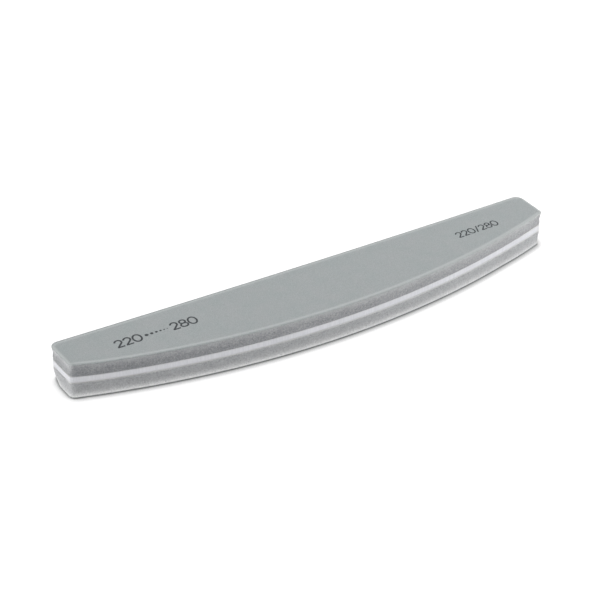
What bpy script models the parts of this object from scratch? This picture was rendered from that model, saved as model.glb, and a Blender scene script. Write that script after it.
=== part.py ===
"""Half moon nail buffer: a flat laminated hand tool, in metres, +Z up.

A stiff core board lies between two foam pads, and each pad carries an abrasive sheet on its
outer face. Films of adhesive hold the stack together. The whole stack is cut in one stroke of
a half moon die, so every layer repeats one outline, drawn in a little more or less at its wall.
The origin lies on the underside, in the middle of the box that holds the tool. The length runs
along X, the long and slightly hollow back edge faces +Y and the curved front edge faces -Y.
"""

import math

import bmesh
import bpy

# Plan of the die, seen from above
LENGTH = 0.178
WIDTH = 0.028
END_WIDTH = 0.0136
BACK_HOLLOW = 0.0008
BACK_CORNER_RADIUS = 0.0029
FRONT_CORNER_RADIUS = 0.0026

# Thickness of each layer
SHEET_THICKNESS = 0.00035
SHEET_ADHESIVE_THICKNESS = 0.00008
LOWER_PAD_THICKNESS = 0.0046
CORE_TAPE_THICKNESS = 0.00012
CORE_THICKNESS = 0.00225
UPPER_PAD_THICKNESS = 0.00405

# How far each wall lies inside the die's outline
SHEET_GRIP_INSET = 0.00005
PAD_WAIST_INSET = 0.0003
PAD_BULGE_INSET = 0.00012
PAD_NIP_INSET = 0.00026
CORE_INSET = 0.00038
ADHESIVE_SQUEEZE_BACK = 0.00006

# Edges: the cut sheet, the cut core, and the lower sheet's edge, which the die rolls in
SHEET_EDGE_RADIUS = 0.00012
CORE_EDGE_RADIUS = 0.00015
ROLL_WIDTH = 0.00025
ROLL_HEIGHT = 0.00025

# Heights on a pad's wall, as shares of the pad's thickness from the core outwards
NIP_SHARE = 0.14
WAIST_SHARE = 0.56

# Straight steps that stand for each curved stretch
FRONT_STEPS = 40
BACK_STEPS = 12
CORNER_STEPS = 6
EDGE_STEPS = 2
ROLL_STEPS = 3
WALL_STEPS = 3

# Heights of the bonded faces: both layers at a bond take their height from the same value
LOWER_SHEET_TOP = SHEET_THICKNESS
LOWER_PAD_BOTTOM = LOWER_SHEET_TOP + SHEET_ADHESIVE_THICKNESS
LOWER_PAD_TOP = LOWER_PAD_BOTTOM + LOWER_PAD_THICKNESS
CORE_BOTTOM = LOWER_PAD_TOP + CORE_TAPE_THICKNESS
CORE_TOP = CORE_BOTTOM + CORE_THICKNESS
UPPER_PAD_BOTTOM = CORE_TOP + CORE_TAPE_THICKNESS
UPPER_PAD_TOP = UPPER_PAD_BOTTOM + UPPER_PAD_THICKNESS
UPPER_SHEET_BOTTOM = UPPER_PAD_TOP + SHEET_ADHESIVE_THICKNESS
UPPER_SHEET_TOP = UPPER_SHEET_BOTTOM + SHEET_THICKNESS


def arc(centre, radius, start, end, steps):
    """Points along an arc from angle start to angle end, both included."""
    angles = [start + (end - start) * step / steps for step in range(steps + 1)]
    return [
        (centre[0] + radius * math.cos(angle), centre[1] + radius * math.sin(angle))
        for angle in angles
    ]


def arc_radius(half_chord, rise):
    """Radius of the arc over a chord, from half the chord and the rise in its middle."""
    return (half_chord**2 + rise**2) / (2 * rise)


def plan_outline(inset):
    """The die's outline drawn in by inset, anticlockwise from above, from the right end.

    The front and the back are shallow arcs, and each straight end meets them in a round
    corner. Every arc keeps its centre when the outline is drawn in. The back corners crest at
    half the width, and the hollow of the back is measured from there.
    """
    half_length = LENGTH / 2
    back_corner_x = half_length - BACK_CORNER_RADIUS
    back_corner = (back_corner_x, WIDTH / 2 - BACK_CORNER_RADIUS)
    back_radius = arc_radius(back_corner_x, BACK_HOLLOW)
    back_reach = math.sqrt((back_radius + BACK_CORNER_RADIUS) ** 2 - back_corner_x**2)
    back_centre = (0.0, back_corner[1] + back_reach)

    front_corner_x = half_length - FRONT_CORNER_RADIUS
    front_radius = arc_radius(half_length, WIDTH - END_WIDTH)
    front_reach = math.sqrt((front_radius - FRONT_CORNER_RADIUS) ** 2 - front_corner_x**2)
    front_centre = (0.0, front_radius - WIDTH / 2)
    front_corner = (front_corner_x, front_centre[1] - front_reach)

    back_lean = math.atan2(back_corner_x, back_reach)
    front_lean = math.atan2(front_corner_x, front_reach)
    down = -math.pi / 2
    up = math.pi / 2
    right_front = arc(
        front_corner, FRONT_CORNER_RADIUS - inset, down + front_lean, 0.0, CORNER_STEPS
    )
    right_back = arc(
        back_corner, BACK_CORNER_RADIUS - inset, 0.0, up + back_lean, CORNER_STEPS
    )
    back_edge = arc(
        back_centre, back_radius + inset, down + back_lean, down - back_lean, BACK_STEPS
    )
    front_edge = arc(
        front_centre, front_radius - inset, down - front_lean, down + front_lean, FRONT_STEPS
    )
    left_back = [(-x, y) for x, y in reversed(right_back)]
    left_front = [(-x, y) for x, y in reversed(right_front)]
    return (
        right_front
        + right_back
        + back_edge[1:-1]
        + left_back
        + left_front
        + front_edge[1:-1]
    )


def eased(start, end, steps):
    """Wall rings (height, inset) after start and up to end: the inset follows half a cosine."""
    rings = []
    for step in range(1, steps + 1):
        share = step / steps
        ease = (1 - math.cos(math.pi * share)) / 2
        height = start[0] * (1 - share) + end[0] * share
        rings.append((height, start[1] * (1 - ease) + end[1] * ease))
    return rings


def upper_pad_wall():
    """A pad is nipped at the core, bulges beside it, has a waist and spreads to its sheet."""
    bulge_height = UPPER_PAD_BOTTOM + UPPER_PAD_THICKNESS * NIP_SHARE
    waist_height = UPPER_PAD_BOTTOM + UPPER_PAD_THICKNESS * WAIST_SHARE
    wall = [(UPPER_PAD_BOTTOM, PAD_NIP_INSET)]
    wall += eased(wall[-1], (bulge_height, PAD_BULGE_INSET), WALL_STEPS)
    wall += eased(wall[-1], (waist_height, PAD_WAIST_INSET), WALL_STEPS)
    wall += eased(wall[-1], (UPPER_PAD_TOP, SHEET_GRIP_INSET), WALL_STEPS)
    return wall


def lower_pad_wall():
    """The lower pad's wall is the upper pad's, turned over and stretched to its thickness."""
    stretch = LOWER_PAD_THICKNESS / UPPER_PAD_THICKNESS
    return [
        (LOWER_PAD_TOP - (height - UPPER_PAD_BOTTOM) * stretch, inset)
        for height, inset in reversed(upper_pad_wall())
    ]


def rounded_top(top, radius, inset):
    """Wall rings (height, inset) over a small round edge, up to its top face."""
    rings = []
    for step in range(EDGE_STEPS + 1):
        angle = math.pi / 2 * step / EDGE_STEPS
        height = top - radius * (1 - math.sin(angle))
        rings.append((height, inset + radius * (1 - math.cos(angle))))
    return rings


def upper_sheet_wall():
    """The upper sheet reaches the die's full outline and is rounded only at its top."""
    radius = min(SHEET_EDGE_RADIUS, SHEET_THICKNESS / 2)
    bonded_edge = (UPPER_SHEET_BOTTOM, SHEET_GRIP_INSET)
    return [bonded_edge] + rounded_top(UPPER_SHEET_TOP, radius, 0.0)


def lower_sheet_wall():
    """The lower sheet's edge is rolled in by a quarter ellipse that ends on the underside."""
    wall = []
    for step in range(ROLL_STEPS + 1):
        angle = math.pi / 2 * step / ROLL_STEPS
        inset = ROLL_WIDTH * (1 - math.sin(angle))
        wall.append((ROLL_HEIGHT * (1 - math.cos(angle)), inset))
    return wall + [(LOWER_SHEET_TOP, SHEET_GRIP_INSET)]


def core_wall():
    """The core's cut edge is upright, with a small round at its top and at its bottom."""
    radius = min(CORE_EDGE_RADIUS, CORE_THICKNESS / 3)
    upper = rounded_top(CORE_TOP, radius, CORE_INSET)
    lower = [(CORE_BOTTOM + (CORE_TOP - height), inset) for height, inset in reversed(upper)]
    return lower + upper


def film_wall(bottom, top, neighbour_inset):
    """A film of adhesive has a plain cut edge, a little inside the wall next to it."""
    inset = neighbour_inset + ADHESIVE_SQUEEZE_BACK
    return [(bottom, inset), (top, inset)]


def make_material(name, colour, roughness):
    """A plain surface that is no metal."""
    material = bpy.data.materials.new(name)
    material.use_nodes = True
    shader = material.node_tree.nodes["Principled BSDF"]
    shader.inputs["Base Color"].default_value = (*colour, 1.0)
    shader.inputs["Roughness"].default_value = roughness
    shader.inputs["Metallic"].default_value = 0.0
    material.diffuse_color = (*colour, 1.0)
    return material


def make_layer(name, wall, material, holder):
    """A closed layer, lofted through one outline for each ring of its wall."""
    shape = bmesh.new()
    loops = []
    for height, inset in wall:
        ring = [shape.verts.new((x, y, height)) for x, y in plan_outline(inset)]
        loops.append([shape.edges.new((a, b)) for a, b in zip(ring, ring[1:] + ring[:1])])
    for below, above in zip(loops, loops[1:]):
        bmesh.ops.bridge_loops(shape, edges=below + above)
    bmesh.ops.holes_fill(shape, edges=loops[0] + loops[-1])
    bmesh.ops.recalc_face_normals(shape, faces=shape.faces)
    mesh = bpy.data.meshes.new(name)
    shape.to_mesh(mesh)
    shape.free()
    mesh.shade_smooth()
    mesh.set_sharp_from_angle(angle=math.radians(40))
    mesh.materials.append(material)
    layer = bpy.data.objects.new(name, mesh)
    layer.parent = holder
    bpy.context.collection.objects.link(layer)


def main():
    """Build the nine layers, from the underside up."""
    for leftover in list(bpy.data.objects):
        bpy.data.objects.remove(leftover, do_unlink=True)
    holder = bpy.data.objects.new("nail_buffer", None)
    bpy.context.collection.objects.link(holder)

    abrasive = make_material("abrasive_sheet", (0.366, 0.392, 0.397), 0.9)
    foam = make_material("sponge_foam", (0.35, 0.355, 0.36), 0.95)
    plastic = make_material("white_core_board", (0.78, 0.78, 0.81), 0.6)
    adhesive = make_material("adhesive_film", (0.72, 0.71, 0.66), 0.35)

    lower_sheet_film = film_wall(LOWER_SHEET_TOP, LOWER_PAD_BOTTOM, SHEET_GRIP_INSET)
    lower_core_film = film_wall(LOWER_PAD_TOP, CORE_BOTTOM, CORE_INSET)
    upper_core_film = film_wall(CORE_TOP, UPPER_PAD_BOTTOM, CORE_INSET)
    upper_sheet_film = film_wall(UPPER_PAD_TOP, UPPER_SHEET_BOTTOM, SHEET_GRIP_INSET)

    make_layer("lower_abrasive_sheet", lower_sheet_wall(), abrasive, holder)
    make_layer("lower_sheet_adhesive", lower_sheet_film, adhesive, holder)
    make_layer("lower_foam_pad", lower_pad_wall(), foam, holder)
    make_layer("lower_core_tape", lower_core_film, adhesive, holder)
    make_layer("core_board", core_wall(), plastic, holder)
    make_layer("upper_core_tape", upper_core_film, adhesive, holder)
    make_layer("upper_foam_pad", upper_pad_wall(), foam, holder)
    make_layer("upper_sheet_adhesive", upper_sheet_film, adhesive, holder)
    make_layer("upper_abrasive_sheet", upper_sheet_wall(), abrasive, holder)


main()
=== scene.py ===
"""The half moon nail buffer as it is seen: a die-cut sandwich of foam, board and abrasive sheets.

Every layer is a closed surface worked out on a grid: one direction follows the die's outline and
the other climbs the cut wall. The layers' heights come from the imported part. Sizes are in metres.
"""

import itertools
import logging
import math
from dataclasses import dataclass
from enum import Enum
from functools import partial
from typing import Callable, ClassVar

import bpy
import numpy as np
from bpy.types import Material, NodeSocket, NodeTree, Object
from mathutils import Matrix, Vector


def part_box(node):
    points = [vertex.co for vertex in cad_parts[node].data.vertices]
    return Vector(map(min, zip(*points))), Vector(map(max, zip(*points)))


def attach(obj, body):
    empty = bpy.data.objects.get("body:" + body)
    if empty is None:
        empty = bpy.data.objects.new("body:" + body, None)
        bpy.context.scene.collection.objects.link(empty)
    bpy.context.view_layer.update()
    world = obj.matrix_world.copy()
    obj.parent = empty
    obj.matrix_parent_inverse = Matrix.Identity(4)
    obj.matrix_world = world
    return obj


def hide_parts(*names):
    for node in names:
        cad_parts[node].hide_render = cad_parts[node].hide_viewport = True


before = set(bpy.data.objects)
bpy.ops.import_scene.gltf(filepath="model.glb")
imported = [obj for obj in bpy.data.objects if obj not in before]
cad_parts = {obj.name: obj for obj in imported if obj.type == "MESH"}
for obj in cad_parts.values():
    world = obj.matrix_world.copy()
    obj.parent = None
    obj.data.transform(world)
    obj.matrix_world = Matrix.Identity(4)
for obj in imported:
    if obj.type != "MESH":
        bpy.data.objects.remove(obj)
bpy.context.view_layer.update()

MM = 0.001
# Points between the back and the front of a bonded face, in the lower cap and in the upper one.
BONDED_ROWS = (2, 2)
# Rounds in which the centre of a front corner settles.
CORNER_REPEATS = 12
# Angles on a printed dot's half circle, which stops short of its two tips.
DOT_ANGLES = np.radians(np.linspace(7.0, 173.0, 21))
# Large odd numbers that stir a cell's coordinates, its seed and its three results, and then
# the bits that each round folds down and the number that it multiplies by.
AXIS_FACTORS = np.array([73856093, 19349663, 83492791], np.uint64)
SEED_FACTOR, RESULT_FACTOR = 2654435761, 40503
STIRS = ((16, 0x85EBCA6B), (13, 0xC2B2AE35))
# How strong a noise texture's finer detail is, and the values that nearly all of it lies in.
NOISE_ROUGHNESS = 0.55
NOISE_SPAN = (0.3, 0.7)
NO_TRIANGLES = np.zeros((0, 3), int)
LOG = logging.getLogger("nail_buffer")
Array = np.ndarray
Adder = Callable[..., NodeSocket]
Looks = tuple[NodeSocket, NodeSocket]


def smooth_step(values: Array, low: float, high: float) -> Array:
    """0 below low, 1 above high, and an S curve between."""
    share = np.clip((values - low) / (high - low), 0.0, 1.0)
    return share * share * (3 - 2 * share)


class Slot(Enum):
    """The record's material slots."""

    SHEET = "abrasive_sheet"
    FOAM = "sponge_foam"
    CORE = "core_board"
    FILM = "adhesive_film"
    INK = "printed_ink"


class Side(Enum):
    """Which outer face a layer belongs to, as the sign of its outward direction along Z."""

    UPPER = 1
    LOWER = -1


class Facing(Enum):
    """A way that a wall faces: axis, sign, and the normal's parts where it begins and is full."""

    RIGHT = (0, 1, 0.6, 1.0)
    RIGHT_WITH_CORNERS = (0, 1, 0.2, 0.8)
    LEFT = (0, -1, 0.6, 0.95)
    LEFT_WITH_CORNERS = (0, -1, 0.1, 0.9)
    NEAR = (1, -1, 0.2, 0.9)
    BACK = (1, 1, 0.2, 0.9)

    def share(self, normal: Array) -> Array:
        """1 where outward normals point that way, 0 where they don't, an S curve between."""
        axis, sign, begin, full = self.value
        return smooth_step(sign * normal[:, axis], begin, full)


def linear(colour: str) -> tuple[float, float, float, float]:
    """Turn an sRGB hex colour into linear values.

    Args:
        colour: six hex digits after a hash.

    Returns:
        Red, green, blue and an alpha of 1.
    """
    values = [int(colour[start : start + 2], 16) / 255 for start in (1, 3, 5)]
    bent = [v / 12.92 if v <= 0.04045 else ((v + 0.055) / 1.055) ** 2.4 for v in values]
    return (*bent, 1.0)


def colours(first: str, second: str) -> dict:
    """Settings of a colour mix: the first where its factor is 0, the second where it is 1."""
    return {"data_type": "RGBA", 6: linear(first), 7: linear(second)}


def add_node(
    tree: NodeTree,
    kind: str,
    output: str | int = 0,
    settings: dict | None = None,
    links: dict | None = None,
) -> NodeSocket:
    """Add a shader node with its settings and its incoming links.

    Args:
        tree: the material's or the world's node tree.
        kind: the node's type.
        output: name or number of the output that is wanted.
        settings: values by attribute name, or by input name or number.
        links: output sockets by the input name or number that they feed.

    Returns:
        That output of the new node.
    """
    node = tree.nodes.new(kind)
    for key, value in (settings or {}).items():
        if isinstance(key, str) and hasattr(node, key):
            setattr(node, key, value)
        else:
            node.inputs[key].default_value = value
    for key, source in (links or {}).items():
        tree.links.new(source, node.inputs[key])
    return node.outputs[output]


def hashed(cells: Array, seed: int) -> Array:
    """Three even random numbers for each whole-numbered cell, the same on every run.

    The three coordinates are multiplied by large odd numbers and combined bit by bit. The
    result is stirred by folding its high bits into its low ones between two multiplications.

    Args:
        cells: whole numbers, three to a cell in the last axis.
        seed: picks one pattern.

    Returns:
        Numbers from 0 to 1 in the shape of cells.
    """
    kept = np.uint64(0xFFFFFFFF)
    parts = cells.astype(np.uint64) * AXIS_FACTORS
    mixed = parts[..., 0] ^ parts[..., 1] ^ parts[..., 2] ^ np.uint64(seed * SEED_FACTOR)
    steps = np.arange(1, 4, dtype=np.uint64) * np.uint64(RESULT_FACTOR)
    stirred = (mixed[..., None] + steps) & kept
    for shift, factor in STIRS:
        stirred = ((stirred ^ (stirred >> np.uint64(shift))) * np.uint64(factor)) & kept
    return (stirred ^ (stirred >> np.uint64(16))).astype(float) / float(kept)


def cell_gaps(points: Array, size: float, seed: int) -> tuple[Array, Array]:
    """How far points lie from the two nearest of many scattered cell centres.

    Space is cut into cubes with one centre at a random place in each. The cube that holds the
    point and its 26 neighbours are searched.

    Args:
        points: positions, three to a point in the last axis.
        size: the cubes' side, which is the mean spacing of the centres.
        seed: picks one pattern.

    Returns:
        The distances to the nearest and to the second nearest centre, in cube sides.
    """
    scaled = points / size
    home = np.floor(scaled).astype(np.int64)
    nearest = np.full(points.shape[:-1], np.inf)
    second = nearest.copy()
    for shift in itertools.product((-1, 0, 1), repeat=3):
        cell = home + np.array(shift)
        gap = np.linalg.norm(cell + hashed(cell, seed) - scaled, axis=-1)
        second = np.minimum(second, np.maximum(nearest, gap))
        nearest = np.minimum(nearest, gap)
    return nearest, second


def drift(points: Array, size: float, seed: int) -> Array:
    """A smooth random field: each cube corner holds a number, blended by an S curve between.

    Args:
        points: positions, three to a point in the last axis.
        size: the cubes' side, about half a wavelength.
        seed: picks one pattern.

    Returns:
        Values from -1 to 1, one for each point.
    """
    scaled = points / size
    home = np.floor(scaled).astype(np.int64)
    part = scaled - home
    part = part * part * (3 - 2 * part)
    total = np.zeros(points.shape[:-1])
    for corner in itertools.product((0, 1), repeat=3):
        weight = np.prod(np.where(np.array(corner) == 1, part, 1 - part), axis=-1)
        total += weight * hashed(home + np.array(corner), seed)[..., 0]
    return 2 * total - 1


@dataclass(frozen=True)
class Outline:
    """Points round the die's outline, anticlockwise from the middle of the right end.

    Attributes:
        base: the points, two numbers each.
        normal: the outward directions, two numbers each.
        batter: how much further in the walls lie for each metre of height.
    """

    base: Array
    normal: Array
    batter: Array

    def along(self, x: Array) -> Array:
        """Places along X as shares of the distance from the middle to the right end."""
        return x / self.base[:, 0].max()

    def wall(self, heights: Array, insets: Array) -> Array:
        """Rings of points: base less (inset + batter times height) times outward normal.

        Args:
            heights: one height for each ring, or one for each point of each ring.
            insets: one inset for each ring, or one for each point of each ring.

        Returns:
            Positions in the shape rings, points, 3.
        """
        rows = len(heights)
        shape = (rows, len(self.base))
        tall = np.broadcast_to(np.reshape(heights, (rows, -1)), shape)
        deep = np.broadcast_to(np.reshape(insets, (rows, -1)), shape)
        plan = self.base[None] - (deep + self.batter * tall)[..., None] * self.normal[None]
        return np.concatenate([plan, tall[..., None]], axis=-1)


@dataclass(frozen=True)
class DiePlan:
    """The half moon that the die cuts, seen from above: two long arcs and two ends.

    Attributes:
        length, width: from end to end, and from the back to the middle of the curved edge.
        end_width: how far the ends reach from the back's line towards the front.
        back_hollow: depth of the long edge's hollow.
        back_corner, tight_corner: radii at the back's right and left.
        front_corners: radii at the curved edge's left and right.
        slant: how far the left end is out of square, in degrees.
        batter: how much further in the curved wall lies for each metre of height, before the left
            end.
        batter_reach: distances from the middle at which that begins and is full.
        samples: number of points read along an arc, and along a straight line.
    """

    length: float
    width: float
    end_width: float = 13.6 * MM
    back_hollow: float = 0.8 * MM
    back_corner: float = 2.9 * MM
    tight_corner: float = 2.6 * MM
    front_corners: tuple[float, float] = (2.7 * MM, 2.1 * MM)
    slant: float = 3.4
    batter: float = 0.035
    batter_reach: tuple[float, float] = (79 * MM, 87 * MM)
    samples: tuple[int, int] = (600, 60)

    def outline(self, count: int) -> Outline:
        """Spread points evenly along the outline's back half and its front half.

        An arc is its centre plus its radius times the normal, with a negative radius for the
        hollow. The tighter corner touches the same two edges as the wider one: its centre lies out
        from that one's by the difference in radius times the sum of the edges' normals over one
        plus their dot product. Even points are read off along the running length.

        Args:
            count: number of points, an even number.

        Returns:
            The outline.
        """
        half = self.length / 2
        back_x = half - self.back_corner
        back_radius = (back_x**2 + self.back_hollow**2) / (2 * self.back_hollow)
        back_reach = math.sqrt((back_radius + self.back_corner) ** 2 - back_x**2)
        back_y = self.width / 2 - self.back_corner
        rise = self.width - self.end_width
        front_radius = (half**2 + rise**2) / (2 * rise)
        front_middle = front_radius - self.width / 2
        slant = math.radians(self.slant)
        on_arc, on_line = self.samples

        def reach_at(y: float, lean: float) -> float:
            """Distance of an end face from the tool's middle."""
            return back_x + self.back_corner / math.cos(lean) - (back_y - y) * math.tan(lean)

        corners = []
        for radius, lean in zip(self.front_corners, (slant, 0.0)):
            y = reach = x = 0.0
            for _ in range(CORNER_REPEATS):
                x = reach_at(y, lean) - radius / math.cos(lean)
                reach = math.sqrt((front_radius - radius) ** 2 - x**2)
                y = front_middle - reach
            corners.append((x, y, radius, math.atan2(x, reach)))
        (left_x, left_y, left_radius, left_lean), right_corner = corners
        right_x, right_y, right_radius, right_lean = right_corner
        back_lean = math.atan2(back_x, back_reach)
        middle = (back_y + right_y) / 2
        up, left, down = math.pi / 2, math.pi + slant, 1.5 * math.pi
        tight = self.tight_corner
        sides = np.array([(math.cos(a), math.sin(a)) for a in (up - back_lean, left)])
        into = sides.sum(axis=0) / (1 + sides[0] @ sides[1])
        tight_x, tight_y = (self.back_corner - tight) * into + (-back_x, back_y)

        def arc(x: float, y: float, radius: float, start: float, end: float) -> Array:
            """Points and normal angles along an arc."""
            angle = np.linspace(start, end, on_arc)
            return np.stack([x + radius * np.cos(angle), y + radius * np.sin(angle), angle], 1)

        def line(start: float, stop: float, angle: float) -> Array:
            """Points and normal angles along the left end, or along the square right one.

            Args:
                start, stop: places along Y.
                angle: the normal's.

            Returns:
                One row for each point.
            """
            run = np.linspace(start, stop, on_line)
            across = -reach_at(run, slant) if angle == left else np.full(on_line, half)
            return np.stack([across, run, np.full(on_line, angle)], 1)

        back = (
            line(middle, back_y, 0.0),
            arc(back_x, back_y, self.back_corner, 0.0, up + back_lean),
            arc(0.0, back_y + back_reach, -back_radius, up + back_lean, up - back_lean),
            arc(tight_x, tight_y, tight, up - back_lean, left),
            line(tight_y - tight * math.sin(slant), middle, left),
        )
        front = (
            line(middle, left_y - left_radius * math.sin(slant), left),
            arc(-left_x, left_y, left_radius, left, down - left_lean),
            arc(0.0, front_middle, front_radius, down - left_lean, down + right_lean),
            arc(right_x, right_y, right_radius, down + right_lean, 2 * math.pi),
            line(right_y, middle, 2 * math.pi),
        )
        rings = []
        for stretches in (back, front):
            dense = np.concatenate(stretches)
            steps = np.linalg.norm(np.diff(dense[:, :2], axis=0), axis=1)
            run = np.concatenate([[0.0], np.cumsum(steps)])
            even = np.linspace(0.0, run[-1], count // 2 + 1)[:-1]
            rings.append(np.stack([np.interp(even, run, dense[:, k]) for k in range(3)], 1))
        ring = np.concatenate(rings)
        normal = np.stack([np.cos(ring[:, 2]), np.sin(ring[:, 2])], 1)
        towards_left = smooth_step(-ring[:, 0], *self.batter_reach)
        batter = self.batter * towards_left * Facing.NEAR.share(normal)
        return Outline(ring[:, :2], normal, batter)


def write_mesh(name: str, points: Array, quads: Array, triangles: Array) -> Object:
    """Put a surface into a new object.

    Args:
        name: the object's name.
        points: positions, one row each.
        quads: four point numbers in each row.
        triangles: three point numbers in each row.

    Returns:
        The object, with its mesh in place, smooth and without sharp edges.
    """
    mesh = bpy.data.meshes.new(name)
    corners = np.concatenate([quads.ravel(), triangles.ravel()]).astype(np.int32)
    sizes = np.concatenate([np.full(len(quads), 4), np.full(len(triangles), 3)])
    starts = np.concatenate([[0], np.cumsum(sizes)[:-1]]).astype(np.int32)
    mesh.vertices.add(len(points))
    mesh.vertices.foreach_set("co", points.astype(np.float32).ravel())
    mesh.loops.add(len(corners))
    mesh.loops.foreach_set("vertex_index", corners)
    mesh.polygons.add(len(sizes))
    mesh.polygons.foreach_set("loop_start", starts)
    mesh.update(calc_edges=True)
    mesh.validate()
    mesh.shade_smooth()
    made = bpy.data.objects.new(name, mesh)
    bpy.context.scene.collection.objects.link(made)
    return made


@dataclass(frozen=True)
class OuterFace:
    """A face of the tool that shows.

    Attributes:
        side, height: its side and height.
        sink: gives how far inside it points lie.
    """

    side: Side
    height: float
    sink: Callable[[Array], Array]


def closed_layer(
    name: str, wall: Array, cap_rows: tuple[int, int], outer: OuterFace | None = None
) -> tuple[Object, Array]:
    """Close a wall of rings with a grid across its bottom and another across its top.

    Each cap joins the back half of a ring to the front half: point j of the back and its
    partner on the front are joined by a straight row of evenly spaced points. The end points
    of the two halves close in a fan.

    Args:
        name: the object's name.
        wall: rings of points from the bottom up, in the shape rings, points, 3.
        cap_rows: number of points between the back and the front, in the lower cap's rows
            and in the upper cap's.
        outer: the cap that is an outer face of the tool, if one is.

    Returns:
        The object, and its points with the wall's first.
    """
    rings, count, _ = wall.shape
    half = count // 2
    columns = np.arange(1, half)
    row, column = np.meshgrid(np.arange(rings - 1), np.arange(count), indexing="ij")
    here, beside = row * count + column, row * count + (column + 1) % count
    quads = [np.stack([here, beside, beside + count, here + count], -1).reshape(-1, 4)]
    points, triangles = [wall.reshape(-1, 3)], []
    start = rings * count
    for ring, rows, side in ((0, cap_rows[0], Side.LOWER), (rings - 1, cap_rows[1], Side.UPPER)):
        top = side is Side.UPPER
        share = (np.arange(1, rows + 1) / (rows + 1))[:, None, None]
        back, front = wall[ring, columns], wall[ring, count - columns]
        inner = back[None] * (1 - share) + front[None] * share
        if outer is not None and side is outer.side:
            inner[..., 2] = outer.height - side.value * outer.sink(inner)
        points.append(inner.reshape(-1, 3))
        grid = start + np.arange(rows * (half - 1)).reshape(rows, half - 1)
        lines = np.vstack([ring * count + columns, grid, ring * count + count - columns])
        a, b = lines[:-1, :-1], lines[:-1, 1:]
        c, d = lines[1:, 1:], lines[1:, :-1]
        order = (a, b, c, d) if top else (d, c, b, a)
        quads.append(np.stack(order, -1).reshape(-1, 4))
        for tip, edge, turn in ((ring * count, 0, top), (ring * count + half, -1, not top)):
            tips = np.full(rows + 1, tip)
            near, far = lines[:-1, edge], lines[1:, edge]
            triangles.append(np.stack((tips, near, far) if turn else (tips, far, near), -1))
        start += grid.size
    joined = np.concatenate(points)
    made = write_mesh(name, joined, np.concatenate(quads), np.concatenate(triangles))
    return made, joined


def eased(heights: Array, knots: list[tuple[float, float]]) -> Array:
    """Insets at heights on a wall: between two knots the inset follows half a cosine.

    Args:
        heights: where the insets are wanted.
        knots: pairs of height and inset, from the bottom up.

    Returns:
        One inset for each height.
    """
    at, inset = np.array(knots).T
    index = np.clip(np.searchsorted(at, heights, side="right") - 1, 0, len(at) - 2)
    share = np.clip((heights - at[index]) / (at[index + 1] - at[index]), 0.0, 1.0)
    ease = (1 - np.cos(np.pi * share)) / 2
    return inset[index] * (1 - ease) + inset[index + 1] * ease


@dataclass(frozen=True)
class CutWall:
    """How far each layer's wall lies inside the die's outline, as the solids have it.

    Reaches and starts along the tool are shares of half its length, and shares up a pad run from
    the core to the sheet.

    Attributes:
        sheet_grip, waist, bulge, nip: a pad's insets from its sheet to the core.
        waist_share, nip_share: shares up a pad of its waist and of its bulge.
        core: inset of the core board.
        roll_width, roll_height: size of the lower sheet's rolled edge.
        end_spread: share of the insets that is lost towards the ends, where the die's tight corners
            spread the layers outwards.
        spread_reach: where that begins and is full.
        end_draw: how much further in the soft layers lie on the right end face.
        foot_draw: how much further in the underside lies at the left end, where it is spread
            outwards, at that end's far corner, and at the right end.
        foot_spread: how far out it lies on the last stretch before the right end.
        foot_reach: where that begins and is full.
        far_reach: distances from the middle line at which the far corner begins and is full.
        lip, lip_share: inset and place of the start of the lower pad's flare to its sheet.
    """

    sheet_grip: float = 0.05 * MM
    waist: float = 0.3 * MM
    waist_share: float = 0.56
    bulge: float = 0.12 * MM
    nip_share: float = 0.14
    nip: float = 0.26 * MM
    core: float = 0.38 * MM
    roll_width: float = 0.25 * MM
    roll_height: float = 0.25 * MM
    end_spread: float = 0.85
    spread_reach: tuple[float, float] = (0.8, 0.95)
    end_draw: float = 0.3 * MM
    foot_draw: tuple[float, float, float] = (-0.22 * MM, 0.7 * MM, 0.75 * MM)
    foot_spread: float = 0.24 * MM
    foot_reach: tuple[float, float] = (0.76, 0.86)
    far_reach: tuple[float, float] = (7 * MM, 12 * MM)
    lip: float = 0.22 * MM
    lip_share: float = 0.85

    def along(self, insets: Array, outline: Outline) -> Array:
        """Insets of each ring at each point of the outline, with the ends spread outwards.

        The spread is full on the left end face and on the last stretch before the right one.

        Args:
            insets: one inset for each ring.
            outline: the die's outline.

        Returns:
            One inset for each ring and each point of the outline.
        """
        last = smooth_step(outline.along(outline.base[:, 0]), *self.spread_reach)
        last = last * (1 - Facing.RIGHT.share(outline.normal))
        spread = np.maximum(last, Facing.LEFT.share(outline.normal))
        return insets[:, None] * (1 - self.end_spread * spread)

    def end_drawn(self, outline: Outline) -> Array:
        """How much further in a soft layer lies at each point of the outline."""
        return self.end_draw * Facing.RIGHT.share(outline.normal)

    def foot_drawn(self, outline: Outline, share: Array) -> Array:
        """How much further in the lower layers lie, at shares of the way from the core down.

        The far corner comes in by the square of the share, and the other places by its cube.

        Args:
            outline: the die's outline.
            share: one share for each ring.

        Returns:
            One inset for each ring and each point of the outline.
        """
        left, far, right = self.foot_draw
        left_end = Facing.LEFT_WITH_CORNERS.share(outline.normal)
        far_corner = smooth_step(outline.base[:, 1], *self.far_reach)
        right_end = Facing.RIGHT_WITH_CORNERS.share(outline.normal)
        last = smooth_step(outline.along(outline.base[:, 0]), *self.foot_reach)
        drawn = left_end * left * (1 - far_corner) + right * right_end
        near = Facing.NEAR.share(outline.normal)
        drawn = drawn - self.foot_spread * last * near * (1 - right_end)
        return share[:, None] ** 3 * drawn + share[:, None] ** 2 * far * left_end * far_corner


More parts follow.
